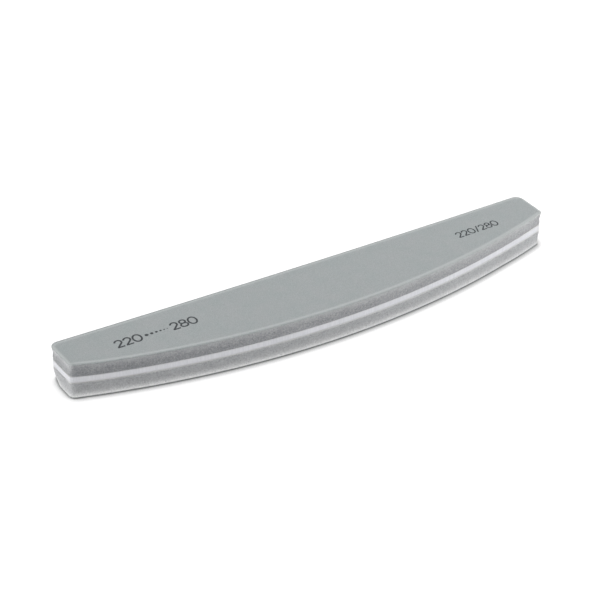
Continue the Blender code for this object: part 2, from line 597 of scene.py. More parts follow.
@dataclass(frozen=True)
class Layer:
    """One layer of the stack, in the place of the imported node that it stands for.

    Attributes:
        name, node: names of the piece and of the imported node.
        plan, cut: the die's plan and the walls' insets.
        seed: picks the layer's own random patterns. A number added to it picks one more.
        slot: the record's slot that its finish stands for.
        sharp: angle past which an edge shows as sharp, in degrees.
    """

    name: str
    node: str
    plan: DiePlan
    cut: CutWall
    seed: int
    slot: ClassVar[Slot]
    sharp: ClassVar[float] = 60.0

    @property
    def low(self) -> float:
        """Height of the layer's lower face."""
        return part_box(self.node)[0].z

    @property
    def high(self) -> float:
        """Height of the layer's upper face."""
        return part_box(self.node)[1].z

    def dress(self, piece: Object, material: Material, **marks: Array) -> Object:
        """Give a piece its finish and its body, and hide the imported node.

        Args:
            piece: the layer's mesh.
            material: its finish.
            marks: numbers for the finish to read, one for each point. Points past their end get 0.

        Returns:
            The piece.
        """
        for name, values in marks.items():
            held = np.zeros(len(piece.data.vertices), np.float32)
            held[: values.size] = values.ravel()
            piece.data.attributes.new(name, "FLOAT", "POINT").data.foreach_set("value", held)
        piece.data.set_sharp_from_angle(angle=math.radians(self.sharp))
        piece.data.materials.append(material)
        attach(piece, "root")
        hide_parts(self.node)
        return piece


@dataclass(frozen=True)
class FoamPad(Layer):
    """A sponge pad whose wall shows the cells that the die cut open.

    Its tone is painted light and shade: painted shade darkens the upper pad towards the core,
    painted light from the table pales the lower pad towards its foot, and painted light changes
    both along the tool and on the left end face. Pairs of tones hold one beside the core and one
    beside the sheet, from 0 to 1.

    Attributes:
        side: the face of the core that the pad lies on.
        columns, rows: number of points round the outline, and of rings up the wall.
        tone: how pale it is, as painted light and shade.
        tone_bend: power of the share from the core to the sheet that the tone follows.
        tone_lip: how much paler it is right beside the core, and the share of the thickness that
        this takes.
        painted_light_rise: painted light that makes the wall paler from the left end to the right
            one.
        end_painted_light: painted light and shade on the left end face, beside the core and the
            sheet.
        cell, cell_depth: mean spacing and depth of the cut cells. Real ones are about 0.25 mm wide,
            too fine for three pixels to the millimetre, so they are drawn twice as coarse.
        cell_rim: by how many spacings the second nearest centre is further off than the nearest on
            a cell's rim, and where its floor begins.
        pit, pit_depth: mean spacing and depth of the larger bubbles.
        pit_rim: spacings from a bubble's centre to the end of its floor and to its rim.
        calm: height beside a bond over which the cells fade out.
        sway, sway_size: how far the whole wall wanders, and over what length.
    """

    side: Side = Side.UPPER
    columns: int = 2400
    rows: int = 26
    tone: tuple[float, float] = (-0.08, 0.08)
    tone_bend: float = 2.0
    tone_lip: tuple[float, float] = (0.0, 0.1)
    painted_light_rise: tuple[float, float] = (0.155, 0.155)
    end_painted_light: tuple[float, float] = (0.13, 0.2)
    cell: float = 0.5 * MM
    cell_depth: float = 0.08 * MM
    cell_rim: tuple[float, float] = (0.02, 0.42)
    pit: float = 1.15 * MM
    pit_depth: float = 0.1 * MM
    pit_rim: tuple[float, float] = (0.05, 0.3)
    calm: float = 0.22 * MM
    sway: float = 0.035 * MM
    sway_size: float = 7 * MM
    slot: ClassVar[Slot] = Slot.FOAM
    sharp: ClassVar[float] = 78.0

    def from_core(self, heights: Array) -> Array:
        """Shares of the pad's thickness, from 0 at the core to 1 at the sheet."""
        share = np.clip((heights - self.low) / (self.high - self.low), 0.0, 1.0)
        return share if self.side is Side.UPPER else 1 - share

    def profile(self, heights: Array) -> Array:
        """Insets of the wall before its cells, nipped at the core and spread to the sheet.

        Args:
            heights: one height for each ring.

        Returns:
            One inset for each ring.
        """
        cut = self.cut
        knots = [(0.0, cut.nip), (cut.nip_share, cut.bulge), (cut.waist_share, cut.waist)]
        if self.side is Side.LOWER:
            knots.append((cut.lip_share, cut.lip))
        knots.append((1.0, cut.sheet_grip))
        return eased(self.from_core(heights), knots)

    def relief(self, points: Array) -> Array:
        """Depth of the cut cells and bubbles, which fades out beside the two bonds.

        A cell is deep where the nearest centre is much closer than the second one, which leaves a
        rim between neighbours. Bubbles are round hollows round far fewer centres.

        Args:
            points: positions on the plain wall.

        Returns:
            One depth for each point.
        """
        nearest, second = cell_gaps(points, self.cell, self.seed)
        bubble, _ = cell_gaps(points, self.pit, self.seed + 50)
        depth = self.cell_depth * smooth_step(second - nearest, *self.cell_rim)
        depth = depth + self.pit_depth * (1 - smooth_step(bubble, *self.pit_rim))
        edge = np.minimum(points[..., 2] - self.low, self.high - points[..., 2])
        return depth * smooth_step(edge, 0.0, self.calm)

    def painted_light_tone(self, points: Array, outline: Outline) -> Array:
        """The painted light and shade of each point: a power of its share of the way to the sheet.

        Args:
            points: the pad's points, with the wall's first.
            outline: the die's outline.

        Returns:
            One tone for each point.
        """
        # Painted light changes the tone along the tool, from the left end to the right one.
        way = (1 + outline.along(points[:, 0])) / 2
        core, sheet = (start + rise * way for start, rise in zip(self.tone, self.painted_light_rise))
        share = self.from_core(points[:, 2])
        tone = core + (sheet - core) * share**self.tone_bend
        # Paler right beside the core.
        dust, dust_share = self.tone_lip
        tone += dust * (1 - smooth_step(share, 0.0, dust_share))
        # Painted light and shade on the left end face.
        ring = np.tile(Facing.LEFT.share(outline.normal), self.rows)
        core, sheet = self.end_painted_light
        tone[: ring.size] += ring * (core + (sheet - core) * share[: ring.size] ** self.tone_bend)
        return tone

    def build(self, material: Material) -> Object:
        """Make the pad: rings of the profile, each point drawn in by the sway and the relief.

        Args:
            material: the pad's finish.

        Returns:
            The pad.
        """
        outline = self.plan.outline(self.columns)
        heights = np.linspace(self.low, self.high, self.rows)
        insets = self.profile(heights)
        if self.side is Side.LOWER:
            insets = self.cut.along(insets, outline)
            insets += self.cut.foot_drawn(outline, self.from_core(heights))
        insets = np.reshape(insets, (self.rows, -1)) + self.cut.end_drawn(outline)
        plain = outline.wall(heights, insets)
        sway = self.sway * drift(plain, self.sway_size, self.seed + 9)
        depth = self.relief(plain)
        wall = outline.wall(heights, insets + sway + depth)
        piece, points = closed_layer(self.name, wall, BONDED_ROWS)
        # pore is the relief's depth, which the finish turns into painted shade; tone is painted
        # light and shade.
        pore = depth / (self.cell_depth + self.pit_depth)
        self.dress(piece, material, pore=pore, tone=self.painted_light_tone(points, outline))
        return piece


@dataclass(frozen=True)
class AbrasiveSheet(Layer):
    """Coated abrasive paper, with its cut edge and the face that does the work.

    Attributes:
        side: the tool's face that the sheet covers.
        columns, face_rows: number of points round the outline, and across the outer face.
        rings: number of rings on the cut edge, round its corner and over the rim.
        edge_radius: round of the upper sheet's cut edge.
        draw_down, draw_width: how far the die pulls the rim towards the foam, and how far in.
        ripple: depth of the slow waves of the face.
        waves: share and length of each kind of wave.
        wave_start: inset at which they begin.
        coat_and_shade_depth: how far the abrasive coat shows on the cut edge. The lower sheet's is
            deeper, as painted shade at its foot.
        edge_dust_and_light: how much of its grey lies on the rest of that edge, at the left end and
            at the
            right one: dust, and painted light in its change along the tool.
        rim_rise, rim_fall: insets between which the pale rim of the face begins and ends: coat that
            the die flattened, and painted highlight along the edges.
        rim_share: how much of it shows along the curved edge and along the back.
        rim_end: insets between which the pale strip on the left end, rubbed coat and painted
            highlight, dies away.
    """

    side: Side = Side.UPPER
    columns: int = 1000
    face_rows: int = 56
    rings: tuple[int, int, int] = (4, 7, 12)
    edge_radius: float = 0.14 * MM
    draw_down: float = 0.16 * MM
    draw_width: float = 1.8 * MM
    ripple: float = 0.03 * MM
    waves: tuple[tuple[float, float], ...] = ((0.7, 14 * MM), (0.3, 5 * MM))
    wave_start: float = 0.1 * MM
    coat_and_shade_depth: float = 0.06 * MM
    edge_dust_and_light: tuple[float, float] = (1.0, 0.7)
    rim_rise: tuple[float, float] = (0.2 * MM, 0.9 * MM)
    rim_fall: tuple[float, float] = (0.8 * MM, 1.75 * MM)
    rim_share: tuple[float, float] = (0.78, 0.75)
    rim_end: tuple[float, float] = (0.5 * MM, 1.35 * MM)
    slot: ClassVar[Slot] = Slot.SHEET

    def sink(self, points: Array) -> Array:
        """How far the outer face lies inside the flat one: the mean of 1 and slow waves.

        Args:
            points: positions, of which X and Y count.

        Returns:
            One depth for each point.
        """
        flat = points * np.array([1.0, 1.0, 0.0])
        waves = sum(
            share * drift(flat, size, self.seed + 3 * index)
            for index, (share, size) in enumerate(self.waves)
        )
        return self.ripple * (1 + waves) / 2

    def rim(self) -> tuple[Array, Array]:
        """The rings' places: the bonded edge, a round over the cut edge, and the face.

        The round is a quarter circle, or the lower sheet's rolled quarter ellipse. The draw-down
        dies away as the square of the remaining width.

        Returns:
            Depths below the outer face and insets of the rings, from the bond to the face.
        """
        wide = tall = self.edge_radius
        if self.side is Side.LOWER:
            wide, tall = self.cut.roll_width, self.cut.roll_height
        edge, corner, over = self.rings
        turn = np.radians(np.linspace(0.0, 90.0, corner))
        upright = np.linspace(self.high - self.low, tall, edge + 1)[:-1]
        across = wide + (self.draw_width - wide) * np.linspace(0.0, 1.0, over + 1)[1:]
        inset = np.concatenate([np.zeros(edge), wide * (1 - np.cos(turn)), across])
        inset[0] = self.cut.sheet_grip
        depth = np.concatenate([upright, tall * (1 - np.sin(turn)), np.zeros(over)])
        rest = np.clip(1 - inset / self.draw_width, 0.0, 1.0)
        return depth + np.where(depth < tall, self.draw_down * rest**2, 0.0), inset

    def coat(self, points: Array, face: float, outline: Outline) -> Array:
        """How grey each point is: 1 on the face; dust, painted shade and painted light on the edge.

        Args:
            points: the sheet's points.
            face: the outer face's height.
            outline: the die's outline.

        Returns:
            One share for each point.
        """
        # On the lower sheet the deep grey band at the foot is painted shade, and the dust's change
        # along the tool is painted light.
        below = self.side.value * (face - points[:, 2])
        bare = smooth_step(below, self.coat_and_shade_depth, 2 * self.coat_and_shade_depth)
        start, end = self.edge_dust_and_light
        dust = start + (end - start) * ((1 + outline.along(points[:, 0])) / 2) ** 2
        return 1 - (1 - dust) * bare

    def crushed_and_highlight(self, inset: Array, outline: Outline) -> Array:
        """How pale the rim is, as coat that the die flattened and as painted highlight.

        A band runs along both long edges, and a strip along the left end.

        Args:
            inset: one inset for each ring.
            outline: the die's outline.

        Returns:
            One share for each ring and each point of the outline.
        """
        band = smooth_step(inset, *self.rim_rise) * (1 - smooth_step(inset, *self.rim_fall))
        near, back = (way.share(outline.normal) for way in (Facing.NEAR, Facing.BACK))
        around = self.rim_share[0] * near + self.rim_share[1] * back
        strip = 1 - smooth_step(inset, *self.rim_end)
        left = Facing.LEFT.share(outline.normal)
        return np.maximum(band[:, None] * around, strip[:, None] * left)

    def build(self, material: Material) -> Object:
        """Make the sheet: the rim's rings, then the face, which sinks by the slow waves.

        Args:
            material: the sheet's finish.

        Returns:
            The sheet.
        """
        outline = self.plan.outline(self.columns)
        depth, inset = self.rim()
        upper = self.side is Side.UPPER
        face, order = (self.high, 1) if upper else (self.low, -1)
        spread = inset if upper else self.cut.along(inset, outline)
        inward = outline.wall(face - order * depth, spread)
        fade = smooth_step(inset, self.wave_start, self.draw_width)[:, None]
        inward[..., 2] -= order * fade * self.sink(inward)
        if not upper:
            drawn = self.cut.end_drawn(outline) + self.cut.foot_drawn(outline, np.ones(1))[0]
            inward[..., :2] -= drawn[:, None] * outline.normal
        caps = (BONDED_ROWS[0], self.face_rows)[::order]
        outer = OuterFace(self.side, face, self.sink)
        piece, points = closed_layer(self.name, inward[::order], caps, outer)
        # The rim's pale band: coat that the die flattened, and painted highlight.
        rim = self.crushed_and_highlight(inset, outline)[::order]
        return self.dress(piece, material, coat=self.coat(points, face, outline), rim=rim)


@dataclass(frozen=True)
class CoreBoard(Layer):
    """The white board in the middle, with the marks that the blade leaves on its edge.

    Attributes:
        columns, rows: number of points round the outline, and of rings up its flat edge.
        corner_rings: number of rings round each of the edge's corners.
        edge_radii: round of the lower and the upper corner. The blade comes from above.
        score, score_width: depth and width of the upright marks.
        score_lean: how much of their change along the edge they show up the edge.
        wave, wave_size: depth of the edge's slow waves as a share of the marks', and length.
        smear: how far painted shade reaches from the edge's lower and upper corner.
    """

    columns: int = 1200
    rows: int = 15
    corner_rings: int = 5
    edge_radii: tuple[float, float] = (0.1 * MM, 0.3 * MM)
    score: float = 0.025 * MM
    score_width: float = 0.3 * MM
    score_lean: float = 0.06
    wave: float = 0.25
    wave_size: float = 9 * MM
    smear: tuple[float, float] = (0.75 * MM, 0.4 * MM)
    slot: ClassVar[Slot] = Slot.CORE

    def build(self, material: Material) -> Object:
        """Make the board: an upright edge with two quarter circles, drawn in by the marks.

        Args:
            material: the board's finish.

        Returns:
            The board.
        """
        outline = self.plan.outline(self.columns)
        turn = np.radians(np.linspace(90.0, 0.0, self.corner_rings))
        (low_radius, low_way), (top_radius, top_way) = (
            (radius, np.stack([radius * (1 - np.sin(turn)), radius * (1 - np.cos(turn))]))
            for radius in self.edge_radii
        )
        middle = np.linspace(self.low + low_radius, self.high - top_radius, self.rows)[1:-1]
        heights = np.concatenate([self.low + low_way[0], middle, self.high - top_way[0, ::-1]])
        inset = np.concatenate([low_way[1], np.zeros(len(middle)), top_way[1, ::-1]])
        inset = inset[:, None] + self.cut.along(np.full(len(heights), self.cut.core), outline)
        plain = outline.wall(heights, inset)
        stretched = plain * np.array([1.0, 1.0, self.score_lean])
        marks = self.score * (1 + drift(stretched, self.score_width, self.seed)) / 2
        slow = self.wave * self.score * drift(plain, self.wave_size, self.seed + 1)
        wall = outline.wall(heights, inset + marks + slow)
        piece, points = closed_layer(self.name, wall, BONDED_ROWS)
        # Painted shade greys the edge towards its two corners, where it meets the pads.
        lower, upper = self.smear
        below = 1 - smooth_step(points[:, 2], self.low, self.low + lower)
        above = smooth_step(points[:, 2], self.high - upper, self.high)
        return self.dress(piece, material, smear=np.maximum(below, above))


@dataclass(frozen=True)
class AdhesiveFilm(Layer):
    """A film of adhesive, drawn back a little from the wall beside it.

    Attributes:
        neighbour_inset: inset of the wall beside it.
        squeeze_back: how much further in the film's own edge lies.
        below_pad: whether it lies under the lower pad, and is drawn in as the pad's foot is.
        columns, rows: number of points round the outline, and of rings up the edge.
        swell: share of the squeeze that the edge makes good halfway up.
        unevenness, uneven_size: how far the edge wanders, and over what length.
    """

    neighbour_inset: float
    squeeze_back: float
    below_pad: bool
    columns: int = 700
    rows: int = 4
    swell: float = 0.5
    unevenness: float = 0.04 * MM
    uneven_size: float = 1.6 * MM
    slot: ClassVar[Slot] = Slot.FILM

    def build(self, material: Material) -> Object:
        """Make the film: an edge that swells between its faces and wanders along the outline.

        Args:
            material: the film's finish.

        Returns:
            The film.
        """
        outline = self.plan.outline(self.columns)
        share = np.linspace(0.0, 1.0, self.rows)
        heights = self.low + (self.high - self.low) * share
        back = self.squeeze_back * (1 - self.swell * np.sin(np.pi * share))
        beside = np.full(self.rows, self.neighbour_inset)
        inset = self.cut.along(beside, outline) + back[:, None]
        if self.below_pad:
            inset = inset + self.cut.end_drawn(outline)
            inset = inset + self.cut.foot_drawn(outline, np.ones(1))
        plain = outline.wall(heights, inset)
        wander = self.unevenness * (1 + drift(plain, self.uneven_size, self.seed)) / 2
        wall = outline.wall(heights, inset + wander)
        return self.dress(closed_layer(self.name, wall, BONDED_ROWS)[0], material)


@dataclass(frozen=True)
class Stroke:
    """One stroke of ink on a face, as a centre line and a width.

    Attributes:
        path: the centre line's points, two numbers each.
        width: one width, or one for each point.
        closed: whether the last point joins the first.
    """

    path: Array
    width: float | Array
    closed: bool = False

    def shifted(self, x: float, y: float) -> "Stroke":
        """The stroke moved along the base line and up from it."""
        return Stroke(self.path + np.array([x, y]), self.width, self.closed)

    def placed(self, scale: float, corner: Array, turn: float) -> "Stroke":
        """The stroke scaled, then turned and moved so that its zero lies at a corner."""
        spin = np.array([[math.cos(turn), math.sin(turn)], [-math.sin(turn), math.cos(turn)]])
        return Stroke(scale * self.path @ spin + corner, self.width, self.closed)


def oval(x: float, y: float, across: float, tall: float, start: float, end: float) -> Array:
    """Points on an oval: centre plus half axes times cosine and sine of an angle.

    Args:
        x, y: the centre.
        across, tall: the half axes.
        start, end: the first and the last angle, in degrees.

    Returns:
        A point every 9 degrees or so, two numbers each.
    """
    steps = max(8, round(abs(end - start) / 9))
    angle = np.radians(np.linspace(start, end, steps + 1))
    return np.stack([x + across * np.cos(angle), y + tall * np.sin(angle)], 1)


def figure(sign: str, width: float) -> tuple[list[Stroke], float]:
    """Draw one sign with strokes, in a height of 1 above its base line.

    Args:
        sign: 0, 2, 8 or a slash.
        width: the strokes' width, in the finished size.

    Returns:
        The strokes and the sign's own width.
    """
    if sign == "0":
        ring = oval(0.37, 0.5, 0.37, 0.5, 0.0, 360.0)[:-1]
        return [Stroke(ring, width, True)], 0.74
    if sign == "2":
        bow = oval(0.32, 0.71, 0.3, 0.29, 172.0, -38.0)
        slope = np.linspace(bow[-1], (0.03, 0.0), 9)[1:]
        foot = np.linspace((0.0, 0.0), (0.66, 0.0), 6)
        return [Stroke(np.concatenate([bow, slope]), width), Stroke(foot, width)], 0.66
    if sign == "8":
        upper = oval(0.34, 0.755, 0.27, 0.245, 0.0, 360.0)[:-1]
        lower = oval(0.34, 0.255, 0.33, 0.255, 0.0, 360.0)[:-1]
        return [Stroke(upper, width, True), Stroke(lower, width, True)], 0.68
    return [Stroke(np.linspace((0.0, -0.08), (0.5, 1.08), 8), width)], 0.5


def dot(radius: float, scale: float) -> Stroke:
    """A round spot: a straight stroke whose width follows a half circle along its length.

    Args:
        radius: the spot's, in heights of a figure.
        scale: a figure's height.

    Returns:
        The stroke, with its width in the finished size.
    """
    line = np.stack([-radius * np.cos(DOT_ANGLES), np.zeros(len(DOT_ANGLES))], 1)
    return Stroke(line, 2 * radius * np.sin(DOT_ANGLES) * scale)


@dataclass(frozen=True)
class InkPrint:
    """Screen-printed marks on the upper sheet.

    Attributes:
        name: the piece's name.
        sheet: the sheet that carries them.
        corner, turn: left end of the base line, and how far it is turned.
        height, stroke: height of the figures and width of their strokes.
        gap: space between figures, as a share of their height.
        film: thickness of the dry ink. Real ink is about 0.01 mm thick, and it is drawn thicker so
            that it stands clear of the sheet's waves.
        sunk: how deep the ink reaches into the coat, as a share of its film.
        step: how much higher each of three strokes in turn lies, as a share of its film, so that no
            faces of crossing strokes share a plane.
        sharp: angle past which an edge shows as sharp, in degrees.
    """

    name: str
    sheet: AbrasiveSheet
    corner: tuple[float, float]
    turn: float
    height: float
    stroke: float
    gap: float = 0.16
    film: float = 0.018 * MM
    sunk: float = 0.3
    step: float = 0.04
    sharp: float = 40.0

    def line_of(self, signs: str, start: float) -> tuple[list[Stroke], float]:
        """Draw a row of figures.

        Args:
            signs: the figures.
            start: where they begin, in heights from the corner.

        Returns:
            Their strokes, and where they end.
        """
        strokes = []
        for sign in signs:
            drawn, width = figure(sign, self.stroke)
            strokes += [stroke.shifted(start, 0.0) for stroke in drawn]
            start += width + self.gap
        return strokes, start - self.gap

    def marks(self) -> list[Stroke]:
        """All the print's strokes, in heights of a figure from the corner."""
        return self.line_of("220/280", 0.0)[0]

    def build(self, material: Material) -> Object:
        """Make the marks: each centre line carries a flat rectangle that follows the sheet.

        A corner is the line's point plus or minus half the width times its left normal.

        Args:
            material: the ink.

        Returns:
            The print.
        """
        points, quads, start = [], [], 0
        for index, mark in enumerate(self.marks()):
            placed = mark.placed(self.height, np.array(self.corner), self.turn)
            path, count = placed.path, len(placed.path)
            if placed.closed:
                along = np.roll(path, -1, axis=0) - np.roll(path, 1, axis=0)
            else:
                along = np.gradient(path, axis=0)
            along /= np.linalg.norm(along, axis=1)[:, None]
            left = np.stack([-along[:, 1], along[:, 0]], 1)
            half = np.broadcast_to(placed.width, count)[:, None] / 2
            corners = np.stack([path - half * left, path + half * left], 1)[:, [0, 1, 1, 0]]
            flat = np.concatenate([corners, np.zeros((count, 4, 1))], 2)
            face = self.sheet.high - self.sheet.sink(flat)
            lift = np.array([-self.sunk, -self.sunk, 1.0, 1.0]) + self.step * (index % 3)
            flat[..., 2] = face + lift * self.film
            points.append(flat.reshape(-1, 3))
            number = start + np.arange(count * 4).reshape(count, 4)
            rings = np.vstack([number, number[:1]]) if placed.closed else number
            a, d = rings[:-1], rings[1:]
            b, c = np.roll(a, -1, axis=1), np.roll(d, -1, axis=1)
            quads.append(np.stack([a, b, c, d], -1).reshape(-1, 4))
            if not placed.closed:
                quads.append(np.stack([number[0, ::-1], number[-1]]))
            start += count * 4
        piece = write_mesh(self.name, np.concatenate(points), np.concatenate(quads), NO_TRIANGLES)
        piece.data.set_sharp_from_angle(angle=math.radians(self.sharp))
        piece.data.materials.append(material)
        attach(piece, "root")
        return piece


@dataclass(frozen=True)
class GradeScale(InkPrint):
    """A plain scale of fineness: both grit numbers, with a row of shrinking dots between.

    Attributes:
        dots: number of dots.
        coarse, fine: radius of the first dot and of the last one.
        space: clear space between dots, in heights. The numbers stand off by twice as much.
    """

    dots: int = 6
    coarse: float = 0.62 * MM
    fine: float = 0.18 * MM
    space: float = 0.17

    def marks(self) -> list[Stroke]:
        """The coarse number, the dots at half its height, and the fine number.

        Returns:
            The strokes, in heights of a figure from the corner.
        """
        strokes, end = self.line_of("220", 0.0)
        at = end + 2 * self.space
        for radius in np.linspace(self.coarse, self.fine, self.dots) / self.height:
            strokes.append(dot(radius, self.height).shifted(at + radius, 0.5))
            at += 2 * radius + self.space
        return strokes + self.line_of("280", at + self.space)[0]


@dataclass(frozen=True)
class Finish:
    """What the finishes share: a Principled shader whose patterns follow Object coordinates.

    Attributes:
        name: the material's name.
        roughness, specular, coat: the shader's own values.
        bump: full height of the bumps.
    """

    name: ClassVar[str]
    roughness: ClassVar[float]
    bump: ClassVar[float]
    specular: ClassVar[float] = 0.5
    coat: ClassVar[float] = 0.0

    def pattern(self, node: Adder, place: NodeSocket) -> Looks:
        """The nodes of the finish, which each finish has for itself.

        Args:
            node: adds a node to the material.
            place: the Object coordinates.

        Returns:
            The colour, and the height of the bumps from 0 to 1.
        """
        raise NotImplementedError

    def make(self) -> Material:
        """Make the material, with the pattern's colour and bumps in its shader.

        Returns:
            The material.
        """
        material = bpy.data.materials.new(self.name)
        material.use_nodes = True
        tree = material.node_tree
        node = partial(add_node, tree)
        colour, height = self.pattern(node, node("ShaderNodeTexCoord", "Object"))
        bump = node("ShaderNodeBump", 0, {"Distance": self.bump}, {"Height": height})
        shader = tree.nodes["Principled BSDF"].inputs
        shader["Roughness"].default_value = self.roughness
        shader["Specular IOR Level"].default_value = self.specular
        shader["Coat Weight"].default_value = self.coat
        tree.links.new(colour, shader["Base Color"])
        tree.links.new(bump, shader["Normal"])
        return material


def blotches(node: Adder, place: NodeSocket, size: float, detail: float = 1.0) -> NodeSocket:
    """An uneven pattern whose spots are about a size wide.

    Args:
        node: adds a node to the material.
        place: the coordinates that the pattern follows.
        size: width of the spots.
        detail: how much finer detail they have.

    Returns:
        Values that run from 0 to 1.
    """
    settings = {"Scale": 1 / size, "Detail": detail, "Roughness": NOISE_ROUGHNESS}
    raw = node("ShaderNodeTexNoise", "Fac", settings, {"Vector": place})
    spread = dict(zip(("From Min", "From Max"), NOISE_SPAN))
    return node("ShaderNodeMapRange", 0, spread, {"Value": raw})


@dataclass(frozen=True)
class CoatedAbrasivePaper(Finish):
    """Silicon carbide grit on latex paper under a dry zinc soap: a pale, dusty grey.

    The soap hides the black grit, so the eye sees an even grey with a faint cloudiness, a fine
    sparkle of grains, and the paper's pale cut edge.

    Attributes:
        grain: size of a grain's mark. Grit 220 is 0.07 mm, so it is drawn four times coarser.
        grain_share: how much of the grains' colours shows beside the clouds'.
        cloud: size of the cloudy areas that the soap coat leaves.
        worn_and_highlight: colour of the rim: the coat that the die flattened, and painted
            highlight.
        paper: colour of the paper's cut edge.
    """

    name: ClassVar[str] = "coated_abrasive_paper"
    roughness: ClassVar[float] = 0.9
    specular: ClassVar[float] = 0.25
    bump: ClassVar[float] = 0.03 * MM
    grain: float = 0.28 * MM
    grain_share: float = 0.45
    cloud: float = 6 * MM
    worn_and_highlight: str = "#bec2c2"
    paper: str = "#ecedea"

    def pattern(self, node: Adder, place: NodeSocket) -> Looks:
        """Mix greys by clouds and by grains, then the rim's flattened coat and painted highlight,
        and the paper's own.

        Args:
            node: adds a node to the material.
            place: the Object coordinates.

        Returns:
            The colour, and the height of the bumps from 0 to 1.
        """
        grains = blotches(node, place, self.grain)
        clouds = blotches(node, place, self.cloud, 3.0)
        face = node("ShaderNodeMix", 2, colours("#9fa7a7", "#a8abac"), {0: clouds})
        grit = node("ShaderNodeMix", 2, colours("#8e9394", "#babebf"), {0: grains})
        settings = {"data_type": "RGBA", 0: self.grain_share}
        grey = node("ShaderNodeMix", 2, settings, {6: face, 7: grit})
        # The rim: flattened coat and painted highlight.
        rim = node("ShaderNodeAttribute", "Fac", {"attribute_name": "rim"})
        settings = {"data_type": "RGBA", 7: linear(self.worn_and_highlight)}
        worn_and_highlight = node("ShaderNodeMix", 2, settings, {0: rim, 6: grey})
        coat = node("ShaderNodeAttribute", "Fac", {"attribute_name": "coat"})
        settings = {"data_type": "RGBA", 6: linear(self.paper)}
        return node("ShaderNodeMix", 2, settings, {0: coat, 7: worn_and_highlight}), grains


@dataclass(frozen=True)
class CutSponge(Finish):
    """Fine polyurethane sponge, die-cut: a soft matt grey, peppered with open cells.

    Every cut cell is a small cup whose floor is darkened by painted shade, so the wall looks
    slightly mottled and never shines.

    Attributes:
        cell: size of the cells between those in the mesh, drawn at twice the real size.
        patches: size of areas with closer or wider cells, and how much paler that makes them.
        mottle: size of the clumps of torn cells, and how much paler those are.
        deep: colour of the painted shade in the deepest cells.
    """

    name: ClassVar[str] = "die_cut_sponge_foam"
    roughness: ClassVar[float] = 0.95
    specular: ClassVar[float] = 0.2
    bump: ClassVar[float] = 0.05 * MM
    cell: float = 0.34 * MM
    patches: tuple[float, float] = (3 * MM, 0.06)
    mottle: tuple[float, float] = (0.6 * MM, 0.15)
    deep: str = "#6c6e71"

    def pattern(self, node: Adder, place: NodeSocket) -> Looks:
        """Paint shade into the cells' floors, in the mesh's own relief and in a finer pattern.

        Args:
            node: adds a node to the material.
            place: the Object coordinates.

        Returns:
            The colour, and the height of the bumps from 0 to 1.
        """
        settings = {"Scale": 1 / self.cell, "Randomness": 1.0}
        cells = node("ShaderNodeTexVoronoi", "Distance", settings, {"Vector": place})
        rims = {"From Min": 0.1, "From Max": 0.75}
        rim = node("ShaderNodeMapRange", 0, rims, {"Value": cells})
        # The pad's tone, which holds its painted light and shade.
        tone = node("ShaderNodeAttribute", "Fac", {"attribute_name": "tone"})
        for size, share in (self.patches, self.mottle):
            links = {0: blotches(node, place, size, 2.0), 2: tone}
            tone = node("ShaderNodeMath", 0, {"operation": "MULTIPLY_ADD", 1: share}, links)
        # Lighter rims, and floors darkened by painted shade.
        rim_colour = node("ShaderNodeMix", 2, colours("#8f9194", "#fcfcfc"), {0: tone})
        painted_shade_floor_colour = node("ShaderNodeMix", 2, colours("#7a7c7f", "#efefef"), {0: tone})
        links = {0: rim, 6: painted_shade_floor_colour, 7: rim_colour}
        fine = node("ShaderNodeMix", 2, {"data_type": "RGBA"}, links)
        # The relief's depth darkens the colour further as painted shade.
        pore = node("ShaderNodeAttribute", "Fac", {"attribute_name": "pore"})
        pores = {"From Min": 0.35, "From Max": 1.0, "To Max": 0.7}
        depth = node("ShaderNodeMapRange", 0, pores, {"Value": pore})
        settings = {"data_type": "RGBA", 7: linear(self.deep)}
        return node("ShaderNodeMix", 2, settings, {0: depth, 6: fine}), rim


@dataclass(frozen=True)
class PolystyreneSheet(Finish):
    """Extruded high-impact polystyrene, die-cut: a clean, slightly bluish white.

    The blade leaves faint upright marks on the edge, and the plastic has a low satin shine.

    Attributes:
        mark: width of the blade's marks along the edge.
        mark_lean: how much of their change along the edge they show up the edge.
        mark_share: how much of the marks' colours shows beside the patches'.
        patch: size of the slow changes in tone.
        painted_edge_shade_colour: colour of the painted shade at the edge's two corners.
    """

    name: ClassVar[str] = "die_cut_polystyrene"
    roughness: ClassVar[float] = 0.5
    bump: ClassVar[float] = 0.012 * MM
    mark: float = 0.3 * MM
    mark_lean: float = 0.08
    mark_share: float = 0.4
    patch: float = 8 * MM
    painted_edge_shade_colour: str = "#c6c7ca"

    def pattern(self, node: Adder, place: NodeSocket) -> Looks:
        """Mix whites by upright marks and by patches, then the painted shade at the corners.

        Args:
            node: adds a node to the material.
            place: the Object coordinates.

        Returns:
            The colour, and the height of the bumps from 0 to 1.
        """
        scale = {"Scale": (1.0, 1.0, self.mark_lean)}
        marks = blotches(node, node("ShaderNodeMapping", 0, scale, {0: place}), self.mark)
        patches = blotches(node, place, self.patch, 2.0)
        tone = node("ShaderNodeMix", 2, colours("#d5d6da", "#dadadf"), {0: patches})
        line = node("ShaderNodeMix", 2, colours("#c4c5ca", "#e0e0e4"), {0: marks})
        settings = {"data_type": "RGBA", 0: self.mark_share}
        white = node("ShaderNodeMix", 2, settings, {6: tone, 7: line})
        # Painted shade at the edge's two corners.
        smear = node("ShaderNodeAttribute", "Fac", {"attribute_name": "smear"})
        settings = {"data_type": "RGBA", 7: linear(self.painted_edge_shade_colour)}
        return node("ShaderNodeMix", 2, settings, {0: smear, 6: white}), marks


